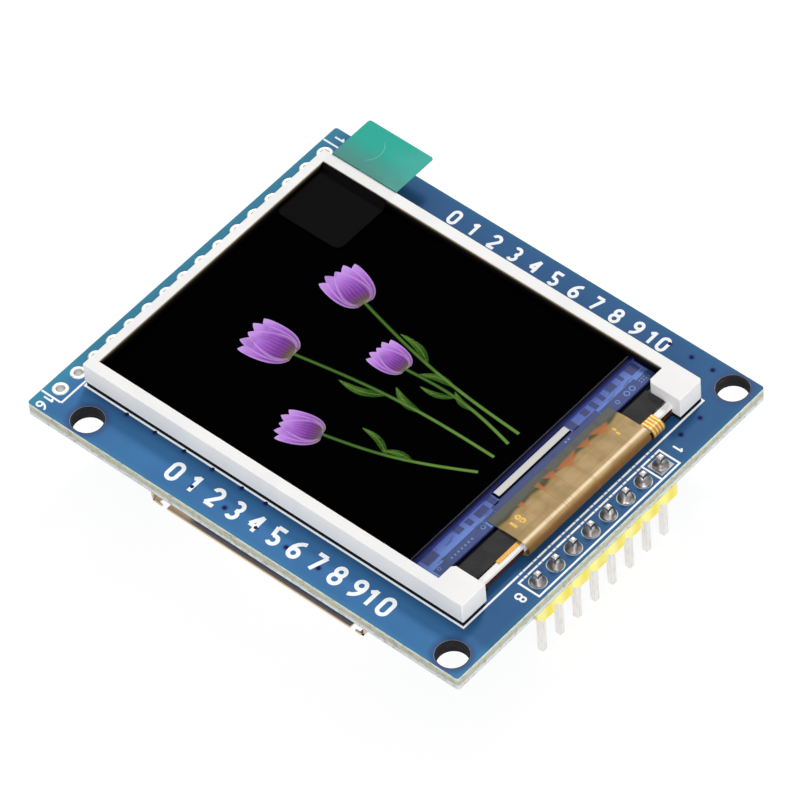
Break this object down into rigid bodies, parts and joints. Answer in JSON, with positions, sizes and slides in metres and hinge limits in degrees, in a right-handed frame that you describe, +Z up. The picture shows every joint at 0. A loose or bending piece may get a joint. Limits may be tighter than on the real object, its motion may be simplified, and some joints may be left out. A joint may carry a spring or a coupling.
{
  "type": "tft display module",
  "caption": "Small colour display on a circuit board, with a pin header, a row of plated holes, mounting holes and a memory card socket underneath.",
  "frame": {"origin": "centre of the four mounting holes on the board's lower face, where standoffs seat", "axes": "+X towards the pin header's end, +Y away from the card slot, +Z up through the display"},
  "size_m": [0.0538, 0.0452, 0.0135],
  "materials": {
    "laminate": "glass-fibre laminate, cut edge",
    "mask": "blue solder mask, satin",
    "ink": "white legend ink",
    "tin": "tinned copper and solder",
    "pin_metal": "tinned brass pins",
    "header_yellow": "pale yellow moulded plastic",
    "foam": "black foam tape",
    "frame_white": "white moulded plastic, satin",
    "silver_film": "silvery white reflector film",
    "clear_acrylic": "clear moulded acrylic",
    "milky_film": "milky optical film",
    "black_tape": "black rim tape",
    "polariser": "dark polariser sheet, glossy",
    "display_glass": "thin display glass with printed conductors",
    "clear_film": "clear peelable film",
    "lit_violet": "lit picture, violet",
    "lit_green": "lit picture, green",
    "chip": "bare silicon, grey",
    "flex": "amber polyimide over copper",
    "gold_flex": "yellow flex over copper strips",
    "lamp": "white lamp body",
    "shade": "dark grey film",
    "tab_green": "green-tinted clear film",
    "shell_steel": "stamped plated steel",
    "base_black": "black moulded plastic",
    "contact_gold": "gold-plated spring contacts",
    "resistor_black": "chip resistor body",
    "capacitor_tan": "ceramic capacitor body",
    "package_black": "moulded package"
  },
  "bodies": {
    "root": {"board": "laminate", "mask_top": "mask", "mask_bottom": "mask", "legend_top": "ink", "legend_bottom": "ink", "row_eyelets": "tin", "header_eyelets": "tin", "header_housing": "header_yellow", "header_pins": "pin_metal", "header_solder": "tin", "mounting_tape": "foam", "backlight_frame": "frame_white", "reflector_film": "silver_film", "light_guide": "clear_acrylic", "diffuser_film": "milky_film", "lower_prism_film": "milky_film", "upper_prism_film": "milky_film", "rim_tape": "black_tape", "rear_polariser": "polariser", "tft_glass": "display_glass", "filter_glass": "display_glass", "front_polariser": "polariser", "surface_film": "clear_film", "picture_blossoms": "lit_violet", "picture_stems": "lit_green", "driver_chip": "chip", "main_flex": "flex", "flex_lands": "tin", "flex_solder": "tin", "led_flex": "gold_flex", "leds": "lamp", "shade_film": "shade", "pull_tab": "tab_green", "card_shell": "shell_steel", "card_base": "base_black", "card_contacts": "contact_gold", "resistor_bodies": "resistor_black", "resistor_ends": "tin", "capacitor_bodies": "capacitor_tan", "capacitor_ends": "tin", "regulator_case": "package_black", "regulator_leads": "tin", "transistor_case": "package_black", "transistor_leads": "tin"}
  },
  "joints": []
}
